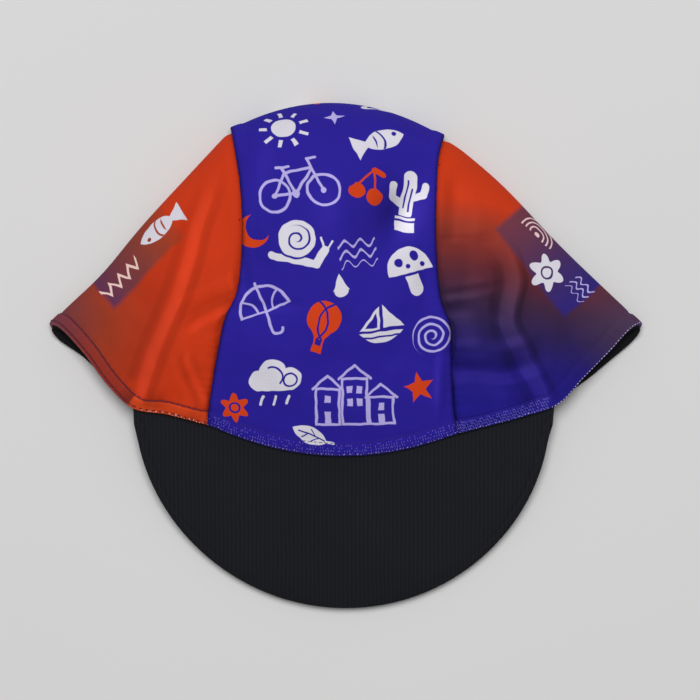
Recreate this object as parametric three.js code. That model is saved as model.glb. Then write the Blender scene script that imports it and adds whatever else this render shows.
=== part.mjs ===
// Cycling cap: three-panel crown with a short peak, lying on its back with the front up.
// Millimetres, +X across from ear to ear, -Y toward the edge of the peak, +Z up from the floor.
import * as THREE from "three";

// Overall sizes
const earSpan = 246.6; // ear corner to ear corner
const crownReach = 123.6; // foot of the front seams to the folded top corners
const footSpan = 103; // between the two seams at the front rim
const crownRise = 34; // highest point of the puffed crown above the floor
const foldHeight = 9; // thickness of the folded edges at the sides and the top
const rimDip = 11; // sag of the front rim below the seam feet
const topBow = 12.3; // rounding of the top fold beyond its two corners
const earLevel = 44.5; // ear corners above the seam feet
const rimRise = 16.5; // front rim above the floor at its middle
const seamSlant = -0.035; // turn of the crown seams in the plane of the floor
const sideBulge = 3.6; // puff of a side panel over a straight line
const rightBow = 2.6; // outward bow of the right side fold
const ridgeHeight = 2.5; // tallest ridge of the relief

// Cloth
const wall = 1.2; // crown cloth
const gap = 0.3; // between neighbouring pieces
const bandWidth = 24; // sweatband
const bandThickness = 1;
const bandFan = 128; // distance at which the lines across the band meet
const bandLean = 5; // how far the free edge of the band stands off the crown at the front
const bandLap = 0.5; // set-back of the band from the rim edge
const bandClear = 1.1; // extra room between band and peak
const hemClear = 0.15; // extra room between the crown and what lies inside it

// Peak
const peakWidth = 176.4;
const peakReach = 84.9; // level of the peak's ends to its front edge
const peakEnds = 10.4; // level of the peak's ends above the seam feet
const peakPower = 1.93; // exponent of the rounded outline
const peakThickness = 2.6;
const peakTuck = 4; // part of the peak held under the front hem
const peakCamber = 1.4; // upward rounding of the peak between rim and front edge
const peakCentre = -0.8; // middle of the peak from the middle of the ear span

// Mesh density
const frontRows = 24;
const backRows = 12;
const panelColumns = 14;
const peakColumns = 44;
const peakRows = 8;

// The two crown seams from the front rim over the top fold to the back rim.
// along: share of crownReach. left, right: share of half footSpan from the middle.
// rise: share of crownRise. bow: sag or rounding of the line between the seams, share of topBow.
// puff: height of that line's middle over the seams, share of crownRise.
const seamStations = [
  {
    along: 0.0,
    left: 1.105,
    right: 0.892,
    rise: (0.77 * rimRise) / crownRise,
    bow: -rimDip / topBow,
    puff: (0.23 * rimRise) / crownRise,
  },
  { along: 0.092, left: 1.075, right: 0.851, rise: 0.5, bow: -0.66, puff: 0.16 },
  { along: 0.254, left: 1.008, right: 0.829, rise: 0.65, bow: -0.34, puff: 0.21 },
  { along: 0.367, left: 0.945, right: 0.816, rise: 0.715, bow: -0.16, puff: 0.24 },
  { along: 0.448, left: 0.856, right: 0.745, rise: 0.74, bow: 0, puff: 0.25 },
  { along: 0.63, left: 0.812, right: 0.708, rise: 0.75, bow: 0.16, puff: 0.25 },
  { along: 0.804, left: 0.831, right: 0.712, rise: 0.66, bow: 0.49, puff: 0.24 },
  { along: 0.917, left: 0.874, right: 0.729, rise: 0.5, bow: 0.76, puff: 0.19 },
  { along: 0.978, left: 0.903, right: 0.763, rise: 0.31, bow: 0.92, puff: 0.09 },
  { along: 1.0, left: 0.918, right: 0.782, rise: 0.14, bow: 1, puff: 0 },
  { along: 0.968, left: 0.903, right: 0.765, rise: 0, bow: 0.94, puff: 0 },
  { along: 0.86, left: 0.858, right: 0.725, rise: 0, bow: 0.65, puff: 0 },
  { along: 0.5, left: 0.824, right: 0.722, rise: 0, bow: 0, puff: 0 },
  { along: 0.09, left: 1.0, right: 0.824, rise: 0, bow: -0.55, puff: 0 },
];
const foldStation = 9; // row at the folded top edge

// The rim of a side panel from the seam foot round the ear corner to the back.
// out: share of half earSpan. left, right: level, share of earLevel. rise: share of foldHeight.
const rimStations = [
  { out: 0.6, left: 0.142, right: 0.126, rise: 1.38 },
  { out: 0.715, left: 0.198, right: 0.24, rise: 1.27 },
  { out: 0.8, left: 0.41, right: 0.482, rise: 1.16 },
  { out: 0.885, left: 0.722, right: 0.72, rise: 1.08 },
  { out: 0.966, left: 0.955, right: 0.955, rise: 1 },
  { out: 1.0, left: 0.985, right: 0.985, rise: 0.5 },
  { out: 0.97, left: 0.868, right: 0.86, rise: 0 },
  { out: 0.885, left: 0.7, right: 0.655, rise: 0 },
  { out: 0.8, left: 0.48, right: 0.462, rise: 0 },
  { out: 0.715, left: 0.335, right: 0.312, rise: 0 },
  { out: 0.6, left: 0.245, right: 0.235, rise: 0 },
];
const earStation = 5; // row at the ear corner

// Ridges and hollows pressed into the upper layer: x, y of the middle and half length as shares
// of crownReach, half width as a share of that length, turn of the long side from +X in degrees,
// height as a share of ridgeHeight.
const relief = [
  { x: -0.471, y: 0.725, long: 0.22, slim: 0.17, turn: 79, height: 0.88 },
  { x: -0.592, y: 0.37, long: 0.22, slim: 0.19, turn: 68, height: 1 },
  { x: -0.475, y: 0.408, long: 0.11, slim: 0.28, turn: 27, height: -0.76 },
  { x: -0.5, y: 0.158, long: 0.08, slim: 0.5, turn: 90, height: -0.64 },
  { x: 0.34, y: 0.75, long: 0.09, slim: 0.4, turn: 90, height: -0.68 },
  { x: 0.4, y: 0.55, long: 0.13, slim: 0.38, turn: 170, height: -0.88 },
  { x: 0.552, y: 0.566, long: 0.12, slim: 0.32, turn: 117, height: 0.84 },
  { x: 0.545, y: 0.397, long: 0.09, slim: 0.38, turn: 90, height: 0.68 },
  { x: 0.622, y: 0.242, long: 0.14, slim: 0.28, turn: 122, height: 0.84 },
  { x: 0.191, y: 0.725, long: 0.09, slim: 0.6, turn: 60, height: -0.64 },
];

const seamPoint = (row, side) => {
  const x = (side * row[side < 0 ? "left" : "right"] * footSpan) / 2;
  return new THREE.Vector3(x, row.along * crownReach + seamSlant * x, row.rise * crownRise);
};

const rimPoint = (row, side) => {
  const level = row[side < 0 ? "left" : "right"] * earLevel;
  return new THREE.Vector3((side * row.out * earSpan) / 2, level, row.rise * foldHeight);
};

// A curve through its rows, run as one part up to the fold and one part behind it.
const curveAcross = (points, fold) => {
  const curve = new THREE.CatmullRomCurve3(points, false, "centripetal");
  curve.arcLengthDivisions = 800;
  const lengths = curve.getLengths();
  const whole = lengths[lengths.length - 1];
  const cut = lengths[Math.round((fold / (points.length - 1)) * 800)] / whole;
  return (share) => curve.getPointAt(share <= 1 ? share * cut : cut + (share - 1) * (1 - cut));
};

// The same, kept on the floor where it would pass below it.
const curveOnFloor = (points, fold) => {
  const curve = curveAcross(points, fold);
  return (share) => {
    const p = curve(share);
    p.z = Math.max(p.z, 0);
    return p;
  };
};

// Shares 0..1 from the front rim to the fold and 1..2 from the fold to the back rim.
const rowShares = [];
for (let j = 0; j <= frontRows; j++) rowShares.push(1 - Math.pow(1 - j / frontRows, 1.55));
for (let j = 1; j <= backRows; j++) rowShares.push(1 + Math.pow(j / backRows, 1.7));
const lastRow = rowShares.length - 1;

const seams = [-1, 1].map((side) =>
  curveOnFloor(seamStations.map((row) => seamPoint(row, side)), foldStation));
const rims = [-1, 1].map((side, k) => {
  const points = rimStations.map((row) => rimPoint(row, side));
  return curveOnFloor([seams[k](0), ...points, seams[k](2)], earStation + 1);
});
const bows = curveAcross(
  seamStations.map((r) => new THREE.Vector3(r.puff * crownRise, r.along * crownReach, r.bow * topBow)),
  foldStation,
);

// Height of the ridges and hollows at a place of the upper layer.
const reliefAt = (x, y) => {
  let sum = 0;
  for (const r of relief) {
    const turn = THREE.MathUtils.degToRad(r.turn);
    const dx = x - r.x * crownReach;
    const dy = y - r.y * crownReach;
    const long = r.long * crownReach;
    const p = (dx * Math.cos(turn) + dy * Math.sin(turn)) / long;
    const q = (dy * Math.cos(turn) - dx * Math.sin(turn)) / (long * r.slim);
    sum += r.height * ridgeHeight * Math.exp(-p * p - q * q);
  }
  return sum;
};

// The upper layer counts fully away from the fold and the rim, not at all behind the fold.
const upperShare = (share) => {
  if (share >= 1) return 0;
  return THREE.MathUtils.smoothstep(1 - share, 0.02, 0.22) * THREE.MathUtils.smoothstep(share, 0.0, 0.12);
};

const centrePoint = (share, across) => {
  const p = seams[0](share).lerp(seams[1](share), across);
  const middle = 4 * across * (1 - across);
  const bow = bows(share);
  p.y += bow.z * middle;
  p.z += bow.x * middle;
  p.z += reliefAt(p.x, p.y) * upperShare(share);
  return p;
};

const sidePoint = (k) => (share, across) => {
  const rim = rims[k](share);
  const p = rim.clone().lerp(seams[k](share), across);
  const middle = 4 * across * (1 - across);
  const nearFold = Math.max(0, 1 - Math.abs(share - 1) * 1.6);
  if (share < 1) p.z += sideBulge * middle * Math.sin(Math.PI * Math.pow(share, 0.8));
  if (k === 1) {
    p.x += rightBow * middle * nearFold * 0.72;
    p.y += rightBow * middle * nearFold * 0.69;
  }
  p.z += reliefAt(p.x, p.y) * upperShare(share) * THREE.MathUtils.smoothstep(across, 0, 0.12);
  p.x += (k === 0 ? -1 : 1) * gap * 1.2;
  return p;
};

const gridOf = (pointAt) =>
  rowShares.map((share) => {
    const row = [];
    for (let i = 0; i <= panelColumns; i++) row.push(pointAt(share, i / panelColumns));
    return row;
  });

// Outward direction at every point of a grid.
const normalsOf = (grid, sign) =>
  grid.map((row, j) =>
    row.map((point, i) => {
      const jj = THREE.MathUtils.clamp(j, 1, grid.length - 2);
      const across = grid[jj][Math.min(i + 1, row.length - 1)].clone().sub(grid[jj][Math.max(i - 1, 0)]);
      const along = grid[Math.min(j + 1, grid.length - 1)][i].clone().sub(grid[Math.max(j - 1, 0)][i]);
      return across.cross(along).multiplyScalar(sign).normalize();
    }),
  );

const addTriangle = (list, a, b, c) => {
  if (a.distanceTo(b) < 1e-3 || b.distanceTo(c) < 1e-3 || c.distanceTo(a) < 1e-3) return;
  list.push(a.x, a.y, a.z, b.x, b.y, b.z, c.x, c.y, c.z);
};

const addQuad = (list, a, b, c, d) => {
  addTriangle(list, a, b, c);
  addTriangle(list, a, c, d);
};

// A closed sheet between an outer and an inner grid. The grids may close on themselves.
const sheetGeometry = (outer, inner, flip, ring = false) => {
  const list = [];
  const put = (a, b, c, d) => (flip ? addQuad(list, a, d, c, b) : addQuad(list, a, b, c, d));
  const rows = outer.length;
  const columns = outer[0].length;
  const steps = ring ? rows : rows - 1;
  for (let j = 0; j < steps; j++) {
    const n = (j + 1) % rows;
    for (let i = 0; i < columns - 1; i++) {
      put(outer[j][i], outer[j][i + 1], outer[n][i + 1], outer[n][i]);
      put(inner[j][i + 1], inner[j][i], inner[n][i], inner[n][i + 1]);
    }
    put(inner[j][0], outer[j][0], outer[n][0], inner[n][0]);
    put(outer[j][columns - 1], inner[j][columns - 1], inner[n][columns - 1], outer[n][columns - 1]);
  }
  if (!ring) {
    for (let i = 0; i < columns - 1; i++) {
      put(inner[0][i], inner[0][i + 1], outer[0][i + 1], outer[0][i]);
      put(outer[rows - 1][i], outer[rows - 1][i + 1], inner[rows - 1][i + 1], inner[rows - 1][i]);
    }
  }
  const geometry = new THREE.BufferGeometry();
  geometry.setAttribute("position", new THREE.Float32BufferAttribute(list, 3));
  geometry.computeVertexNormals();
  return geometry;
};

const insetGrid = (grid, normals, depth) =>
  grid.map((row, j) => row.map((p, i) => p.clone().addScaledVector(normals[j][i], -depth)));

const cap = new THREE.Group();
cap.name = "cycling_cap";

const cloth = (color, roughness) => new THREE.MeshStandardMaterial({ color, roughness, metalness: 0 });

const addMesh = (name, geometry, material) => {
  const mesh = new THREE.Mesh(geometry, material);
  mesh.name = name;
  cap.add(mesh);
};

// Crown panels
const centreGrid = gridOf(centrePoint);
const sideGrids = [0, 1].map((k) => gridOf(sidePoint(k)));
const centreNormals = normalsOf(centreGrid, 1);
const sideNormals = sideGrids.map((grid, k) => normalsOf(grid, k === 0 ? 1 : -1));

// The panels share one direction along each seam, so that their edges stay parallel.
for (let j = 0; j <= lastRow; j++) {
  [0, 1].forEach((k) => {
    const centreColumn = k === 0 ? 0 : panelColumns;
    const near = sideNormals[k][THREE.MathUtils.clamp(j, 1, lastRow - 1)][panelColumns];
    const shared = centreNormals[j][centreColumn].clone().add(near).normalize();
    centreNormals[j][centreColumn].copy(shared);
    if (j === 0 || j === lastRow) sideNormals[k][j].forEach((n) => n.copy(shared));
    else sideNormals[k][j][panelColumns].copy(shared);
  });
}

addMesh(
  "centre_panel",
  sheetGeometry(centreGrid, insetGrid(centreGrid, centreNormals, wall), false),
  cloth(0x2a1e8c, 0.85),
);
["left_side_panel", "right_side_panel"].forEach((name, k) => {
  addMesh(
    name,
    sheetGeometry(sideGrids[k], insetGrid(sideGrids[k], sideNormals[k], wall), k === 1),
    cloth(k === 0 ? 0xb83a1a : 0x5a2480, 0.85),
  );
});

// The rim as a closed loop: front of the centre panel, right side, back, left side.
const loop = [];
const addStop = (point, normal) => {
  if (loop.length && loop[loop.length - 1].point.distanceTo(point) < 0.6) return;
  loop.push({ point: point.clone(), normal: normal.clone() });
};
for (let i = 0; i <= panelColumns; i++) addStop(centreGrid[0][i], centreNormals[0][i]);
for (let j = 1; j < lastRow; j++) addStop(sideGrids[1][j][0], sideNormals[1][j][0]);
for (let i = panelColumns; i >= 0; i--) addStop(centreGrid[lastRow][i], centreNormals[lastRow][i]);
for (let j = lastRow - 1; j > 0; j--) addStop(sideGrids[0][j][0], sideNormals[0][j][0]);

// Sweatband: a ring inside the rim, behind the edge of the peak at the front.
const frontShare = (z) => THREE.MathUtils.smoothstep(z, foldHeight * 1.02, foldHeight * 1.25);
const bandSteps = [0, 0.35, 0.7, 1];
const bandRing = (depth) =>
  loop.map((stop, s) => {
    const before = loop[(s + loop.length - 1) % loop.length];
    const after = loop[(s + 1) % loop.length];
    const normal = before.normal.clone().add(stop.normal).add(after.normal).normalize();
    const up = new THREE.Vector3(-stop.point.x / bandFan, 1, 0).normalize();
    up.addScaledVector(normal, -up.dot(normal)).normalize();
    const front = frontShare(stop.point.z);
    return bandSteps.map((step) => {
      const reach = bandLap + step * bandWidth;
      const lean = (0.15 + 0.85 * front) * bandLean * step * step;
      const under = wall + gap + hemClear + front * (peakThickness + gap + bandClear) + lean + depth;
      return stop.point.clone().addScaledVector(up, reach).addScaledVector(normal, -under);
    });
  });
addMesh(
  "sweatband",
  sheetGeometry(bandRing(0), bandRing(bandThickness), true, true),
  cloth(0x141416, 0.9),
);

// Peak: the front rim gives its inner edge, a rounded outline gives its outer edge.
const frontRim = loop.filter((stop) => stop.normal.z > 0.2 && stop.point.z > foldHeight * 1.02);
frontRim.sort((a, b) => a.point.x - b.point.x);
const rimAt = (x) => {
  let n = frontRim.findIndex((stop) => stop.point.x > x);
  n = THREE.MathUtils.clamp(n, 1, frontRim.length - 1);
  const a = frontRim[n - 1].point;
  const b = frontRim[n].point;
  return a.clone().lerp(b, (x - a.x) / (b.x - a.x));
};
const peakPoint = (share, depth) => {
  const x = peakCentre + (share * peakWidth) / 2;
  const rim = rimAt(x);
  const round = Math.pow(1 - Math.pow(Math.abs(share), peakPower), 1 / peakPower);
  const outer = peakEnds - peakReach * round;
  const inner = Math.max(rim.y + peakTuck, outer + peakTuck);
  const held = rim.z - (wall + gap) * 1.12 - peakThickness - hemClear;
  const y = THREE.MathUtils.lerp(inner, Math.min(outer, rim.y), depth);
  const lift = held * Math.pow(Math.abs(share), 6);
  const z = THREE.MathUtils.lerp(held + 0.18 * peakTuck, lift, depth);
  const camber = peakCamber * 6.75 * depth * depth * (1 - depth) * (1 - Math.pow(share, 4));
  return new THREE.Vector3(x, y, z + camber);
};
const peakGrid = (rise) => {
  const grid = [];
  for (let j = 0; j <= peakColumns; j++) {
    const share = 0.992 * Math.sin((j / peakColumns - 0.5) * Math.PI);
    const row = [];
    for (let i = 0; i <= peakRows; i++) {
      const p = peakPoint(share, i / peakRows);
      p.z += rise;
      row.push(p);
    }
    grid.push(row);
  }
  return grid;
};
addMesh("peak", sheetGeometry(peakGrid(peakThickness), peakGrid(0), false), cloth(0x17171b, 0.8));

// The frame's origin is the middle of the underside.
const bounds = new THREE.Box3().setFromObject(cap);
const middle = bounds.getCenter(new THREE.Vector3());
cap.children.forEach((mesh) => mesh.geometry.translate(-middle.x, -middle.y, -bounds.min.z));

export default cap;
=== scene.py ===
import math
import random

import bmesh
import bpy
import numpy as np
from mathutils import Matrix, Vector, noise
from mathutils.kdtree import KDTree


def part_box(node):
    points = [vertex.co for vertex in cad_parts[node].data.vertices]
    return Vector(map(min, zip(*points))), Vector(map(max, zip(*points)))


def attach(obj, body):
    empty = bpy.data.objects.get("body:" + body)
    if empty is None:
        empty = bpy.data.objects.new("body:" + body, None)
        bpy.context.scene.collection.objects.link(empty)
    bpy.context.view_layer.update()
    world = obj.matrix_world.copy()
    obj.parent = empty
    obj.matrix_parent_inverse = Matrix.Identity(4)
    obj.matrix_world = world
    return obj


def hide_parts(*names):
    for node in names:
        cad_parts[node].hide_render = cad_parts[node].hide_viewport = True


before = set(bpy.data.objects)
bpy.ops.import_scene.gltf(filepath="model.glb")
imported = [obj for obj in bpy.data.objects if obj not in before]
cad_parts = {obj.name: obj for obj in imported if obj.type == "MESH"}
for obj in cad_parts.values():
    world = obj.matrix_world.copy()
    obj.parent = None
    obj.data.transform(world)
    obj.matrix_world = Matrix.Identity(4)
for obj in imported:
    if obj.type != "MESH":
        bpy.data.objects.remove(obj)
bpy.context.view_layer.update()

# Studio: the cap lies on a pale sheet of board and is seen from straight above, in soft light
# from all round and from a large lamp overhead that stands toward the top of the picture.
view_width = 0.2925
camera_height = 1.6
camera_centre = (0.0016, 0.0024)
sensor_width = 36
board_size = 6
board_drop = 0.0001
room_light = 0.28
lamp_place = (-0.04, 0.62, 1.95)
lamp_size = 1.3
lamp_power = 28.9

scene = bpy.context.scene
scene.view_settings.view_transform = "Standard"
scene.view_settings.look = "None"

bpy.ops.object.camera_add(location=(*camera_centre, camera_height), rotation=(0, 0, 0))
camera = bpy.context.object
camera.name = "camera_above"
camera.data.sensor_width = sensor_width
camera.data.lens = sensor_width * camera_height / view_width
camera.data.clip_end = 20
scene.camera = camera


class Wire:
    """One output of a shader node, with arithmetic that adds Math nodes."""

    def __init__(self, recipe, socket):
        self.recipe = recipe
        self.socket = socket

    def math(self, operation, *others, clamp=False):
        settings = {"operation": operation, "use_clamp": clamp}
        return self.recipe.add("ShaderNodeMath", settings, dict(enumerate((self, *others))))

    def __add__(self, other):
        return self.math("ADD", other)

    def __sub__(self, other):
        return self.math("SUBTRACT", other)

    def __rsub__(self, other):
        return self * -1 + other

    def __mul__(self, other):
        return self.math("MULTIPLY", other)

    def __truediv__(self, other):
        return self.math("DIVIDE", other)

    def __abs__(self):
        return self.math("ABSOLUTE")

    __radd__ = __add__
    __rmul__ = __mul__

    def least(self, *others):
        """The union of shapes, where each number is a distance outside its edge."""
        low = self
        for other in others:
            low = low.math("MINIMUM", other)
        return low

    def most(self, *others):
        """What shapes have in common."""
        high = self
        for other in others:
            high = high.math("MAXIMUM", other)
        return high

    def without(self, *others):
        return self.most(*(other * -1 for other in others))

    def line(self, width):
        """A stroke of the given width along a shape's edge."""
        return abs(self) - width / 2

    def inside(self, soft=0.22):
        """1 inside a shape and 0 outside, with a slightly soft edge as cloth takes ink."""
        return self.math("MULTIPLY_ADD", -1 / soft, 0.5, clamp=True)

    def near(self, reach):
        """1 at an edge and 0 beyond reach, for a distance in millimetres."""
        return 1 - (self / reach).math("SMOOTH_MIN", 1.0, 0.3)

    def wave(self, pitch):
        """Even waves between 0 and 1."""
        return (self * (2 * math.pi / pitch)).math("SINE") * 0.5 + 0.5


class Recipe:
    """The nodes of one material."""

    def __init__(self, name):
        self.material = bpy.data.materials.new(name)
        self.material.use_nodes = True
        self.tree = self.material.node_tree
        self.tree.nodes.clear()

    def add(self, kind, settings, values, output=0):
        """A node with its settings and inputs, given by one of its outputs."""
        node = self.tree.nodes.new(kind)
        for key, value in settings.items():
            setattr(node, key, value)
        for key, value in values.items():
            if isinstance(value, Wire):
                self.tree.links.new(value.socket, node.inputs[key])
            else:
                node.inputs[key].default_value = value
        return Wire(self, node.outputs[output])

    def mottle(self, place, scale, detail, output=0):
        """Noise at a place, as a number or, from output 1, as a vector."""
        values = {"Vector": place, "Scale": scale, "Detail": detail}
        return self.add("ShaderNodeTexNoise", {}, values, output)

    def mix(self, factor, below, above):
        """Two colours, the second over the first where factor is 1."""
        settings = {"data_type": "RGBA", "clamp_factor": True}
        below, above = (c if isinstance(c, Wire) else (*c, 1) for c in (below, above))
        return self.add("ShaderNodeMix", settings, {0: factor, 6: below, 7: above}, output=2)

    def finish(self, colour, roughness, height=None, relief=0.0, specular=0.12, sheen=0.0):
        """The surface, with height in shares of relief, which is in metres."""
        values = {"Base Color": colour, "Roughness": roughness, "Sheen Weight": sheen}
        values["Specular IOR Level"] = specular
        if height is not None:
            bump = {"Height": height, "Distance": relief, "Strength": 1.0}
            values["Normal"] = self.add("ShaderNodeBump", {}, bump)
        surface = self.add("ShaderNodeBsdfPrincipled", {}, values)
        output = self.tree.nodes.new("ShaderNodeOutputMaterial")
        self.tree.links.new(surface.socket, output.inputs["Surface"])
        return self.material


def shade(red, green, blue):
    """A colour as seen on a screen, 0 to 255, as light."""
    return tuple(
        c / 12.92 if c <= 0.04045 else ((c + 0.055) / 1.055) ** 2.4
        for c in (red / 255, green / 255, blue / 255)
    )


board = Recipe("pale_board")
board_grain = board.add("ShaderNodeTexCoord", {}, {}, output="Object")
board_tone = board.mottle(board_grain, 3.0, 2.0)
board_colour = board.mix(board_tone, shade(222, 221, 221), shade(227, 226, 226))
bpy.ops.mesh.primitive_plane_add(size=board_size, location=(0, 0, -board_drop))
floor = bpy.context.object
floor.name = "floor_board"
floor.data.materials.append(board.finish(board_colour, 0.9, specular=0.1))

world = bpy.data.worlds.new("studio")
scene.world = world
world.use_nodes = True
world.node_tree.nodes["Background"].inputs["Color"].default_value = (1, 1, 1, 1)
world.node_tree.nodes["Background"].inputs["Strength"].default_value = room_light

bpy.ops.object.light_add(type="AREA", location=lamp_place)
lamp = bpy.context.object
lamp.name = "overhead_lamp"
lamp.data.shape = "DISK"
lamp.data.size = lamp_size
lamp.data.energy = lamp_power
lamp.rotation_euler = (-lamp.location).to_track_quat("-Z", "Y").to_euler()


# Centre panel: one strip of ribbed sports knit from the front rim over the top of the head to
# the back rim. Its two long edges are turned under and lie over the side panels, so they stand
# a little proud. Lying flat, it is folded double across the top. Sizes are in millimetres.
ear_span = 246.6
crown_reach = 123.6
foot_span = 103
crown_rise = 34
fold_height = 9
rim_dip = 11
top_bow = 12.3
ear_level = 44.5
rim_rise = 16.5
seam_slant = -0.035
side_bulge = 3.6
fold_bows = [(-1.7, 0.27, 0.17), (2.1, 0.73, 0.23)]
ridge_height = 2.5
wall = 1.2
gap = 0.3
hem_width = 6.0
hem_swell = 0.45
edge_fold = 4.6
seam_lap = 0.8
edge_step = 0.6
seam_ditch = 0.9
groove_depth = 0.45
pucker_height = 0.14
gather_height = 0.13
# Painted light and shade on the cloth: the step over which the cloth's slope toward the left is
# found, and how strongly that slope lightens or darkens the centre panel's colour.
light_step = (0.47, -0.16)
centre_painted_light_gain = 2
rim_share = rim_rise / crown_rise

# From the front rim over the fold to the back rim, with the columns of the solid's own table:
# along, left, right, rise, bow, puff.
seam_stations = [
    (0.0, 1.105, 0.892, 0.77 * rim_share, -rim_dip / top_bow, 0.23 * rim_share),
    (0.092, 1.075, 0.851, 0.5, -0.66, 0.16),
    (0.254, 1.008, 0.829, 0.65, -0.34, 0.21),
    (0.367, 0.945, 0.816, 0.715, -0.16, 0.24),
    (0.448, 0.856, 0.745, 0.74, 0, 0.25),
    (0.63, 0.812, 0.708, 0.75, 0.16, 0.25),
    (0.804, 0.831, 0.712, 0.66, 0.49, 0.24),
    (0.917, 0.874, 0.729, 0.5, 0.76, 0.19),
    (0.978, 0.903, 0.763, 0.31, 0.92, 0.09),
    (1.0, 0.918, 0.782, 0.14, 1, 0),
    (0.968, 0.903, 0.765, 0, 0.94, 0),
    (0.86, 0.858, 0.725, 0, 0.65, 0),
    (0.5, 0.824, 0.722, 0, 0, 0),
    (0.09, 1.0, 0.824, 0, -0.55, 0),
]
fold_station = 9

# From the seam foot round the ear corner to the back: out, left, right, rise.
rim_stations = [
    (0.6, 0.142, 0.126, 1.38),
    (0.715, 0.198, 0.24, 1.27),
    (0.8, 0.41, 0.482, 1.16),
    (0.885, 0.722, 0.72, 1.08),
    (0.966, 0.955, 0.955, 1),
    (1.0, 0.985, 0.985, 0.5),
    (0.97, 0.868, 0.86, 0),
    (0.885, 0.7, 0.655, 0),
    (0.8, 0.48, 0.462, 0),
    (0.715, 0.335, 0.312, 0),
    (0.6, 0.245, 0.235, 0),
]
ear_station = 5

# Ridges and hollows of the upper layer: x, y and half length as shares of crown_reach, half
# width as a share of the length, turn from +X in degrees, height as a share of ridge_height.
relief = [
    (-0.471, 0.725, 0.22, 0.17, 79, 0.4),
    (-0.592, 0.37, 0.22, 0.19, 68, 0.45),
    (-0.475, 0.408, 0.11, 0.28, 27, -0.76),
    (-0.5, 0.158, 0.08, 0.5, 90, -0.64),
    (0.34, 0.75, 0.09, 0.4, 90, -0.3),
    (0.4, 0.55, 0.13, 0.38, 170, -0.4),
    (0.552, 0.566, 0.12, 0.32, 117, 0.3),
    (0.545, 0.397, 0.09, 0.38, 90, 0.2),
    (0.622, 0.242, 0.14, 0.28, 122, 0.3),
    (0.191, 0.725, 0.09, 0.6, 60, -0.64),
    # Creases that are too fine for the solid
    (-0.262, 0.411, 0.1, 0.16, 3, -0.3),
    (0.42, 0.267, 0.08, 0.25, 8, -0.35),
    (0.115, 1.0, 0.13, 0.22, 172, -0.7),
    (0.171, 0.731, 0.09, 0.7, 80, -0.9),
    (-0.015, 0.708, 0.14, 0.5, 92, 0.6),
    (-0.3, 0.9, 0.12, 0.4, 84, -0.5),
    (-0.335, 0.56, 0.1, 0.14, 96, 0.2),
    (0.315, 0.16, 0.12, 0.12, 88, 0.25),
]


def smooth(x, low, high):
    """0 below low, 1 above high and a soft step between."""
    t = np.clip((np.asarray(x, float) - low) / (high - low), 0, 1)
    return t * t * (3 - 2 * t)


def run_of(line):
    """How far along a line each of its points lies."""
    return np.concatenate([[0], np.cumsum(np.linalg.norm(np.diff(line, axis=0), axis=1))])


def placed(line, run, s):
    """The places at the given runs along a line."""
    return np.stack([np.interp(s, run, line[:, k]) for k in range(line.shape[1])], axis=-1)


def unit(vectors):
    return vectors / np.maximum(np.linalg.norm(vectors, axis=-1, keepdims=True), 1e-9)


def bell(distance, reach):
    """1 at a line and 0 away from it."""
    return np.exp(-((distance / reach) ** 2))


def curve_at(points, fold):
    """A smooth curve through points, asked by share: 0 to 1 up to the fold, 1 to 2 behind it."""
    fine = 80
    p = np.array(points, float)
    p = np.vstack([2 * p[0] - p[1], p, 2 * p[-1] - p[-2]])
    t = np.linspace(0, 1, fine, endpoint=False)[:, None]
    parts = []
    for k in range(1, len(p) - 2):
        a, b, c, d = p[k - 1 : k + 3]
        before, here, after = (np.linalg.norm(q) ** 0.5 for q in (b - a, c - b, d - c))
        leave = ((b - a) / before - (c - a) / (before + here) + (c - b) / here) * here
        arrive = ((c - b) / here - (d - b) / (here + after) + (d - c) / after) * here
        curve = b + leave * t + (3 * (c - b) - 2 * leave - arrive) * t**2
        parts.append(curve + (2 * (b - c) + leave + arrive) * t**3)
    parts.append(p[-2:-1])
    dense = np.vstack(parts)
    length = run_of(dense)
    cut = length[fold * fine]

    def at(share):
        s = np.where(share <= 1, share * cut, cut + (share - 1) * (length[-1] - cut))
        return placed(dense, length, s)

    return at


def on_floor(points):
    """The points, with those below the floor lifted to it."""
    points = points.copy()
    points[..., 2] = np.maximum(points[..., 2], 0)
    return points


def seam_point(station, side):
    """A row of the seam's table as a place in millimetres."""
    x = side * station[1 if side < 0 else 2] * foot_span / 2
    return (x, station[0] * crown_reach + seam_slant * x, station[3] * crown_rise)


def rim_point(station, side):
    level = station[1 if side < 0 else 2] * ear_level
    return (side * station[0] * ear_span / 2, level, station[3] * fold_height)


front_rows = 170
back_rows = 56
shares = np.concatenate(
    [
        1 - (1 - np.linspace(0, 1, front_rows)) ** 1.35,
        1 + np.linspace(0, 1, back_rows)[1:] ** 1.5,
    ]
)
edge_steps = [0, 0.0012, 0.003, 0.006, 0.011]
across = np.array([*edge_steps, *np.linspace(0.018, 0.982, 92), *(1 - e for e in edge_steps[::-1])])

seam_lines, rim_lines = [], []
for side in (-1, 1):
    seam = on_floor(curve_at([seam_point(s, side) for s in seam_stations], fold_station)(shares))
    route = [seam[0], *(rim_point(s, side) for s in rim_stations), seam[-1]]
    seam_lines.append(seam)
    rim_lines.append(on_floor(curve_at(route, ear_station + 1)(shares)))
bow_points = [(s[5] * crown_rise, s[0] * crown_reach, s[4] * top_bow) for s in seam_stations]
bows = curve_at(bow_points, fold_station)(shares)


def relief_at(x, y):
    """The summed height of the ridges and hollows at every point of a grid."""
    total = np.zeros_like(x)
    for place_x, place_y, length, slim, turn, height in relief:
        c, s = math.cos(math.radians(turn)), math.sin(math.radians(turn))
        dx = x - place_x * crown_reach
        dy = y - place_y * crown_reach
        p = (dx * c + dy * s) / (length * crown_reach)
        q = (dy * c - dx * s) / (length * slim * crown_reach)
        total += height * ridge_height * np.exp(-p * p - q * q)
    return total


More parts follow.
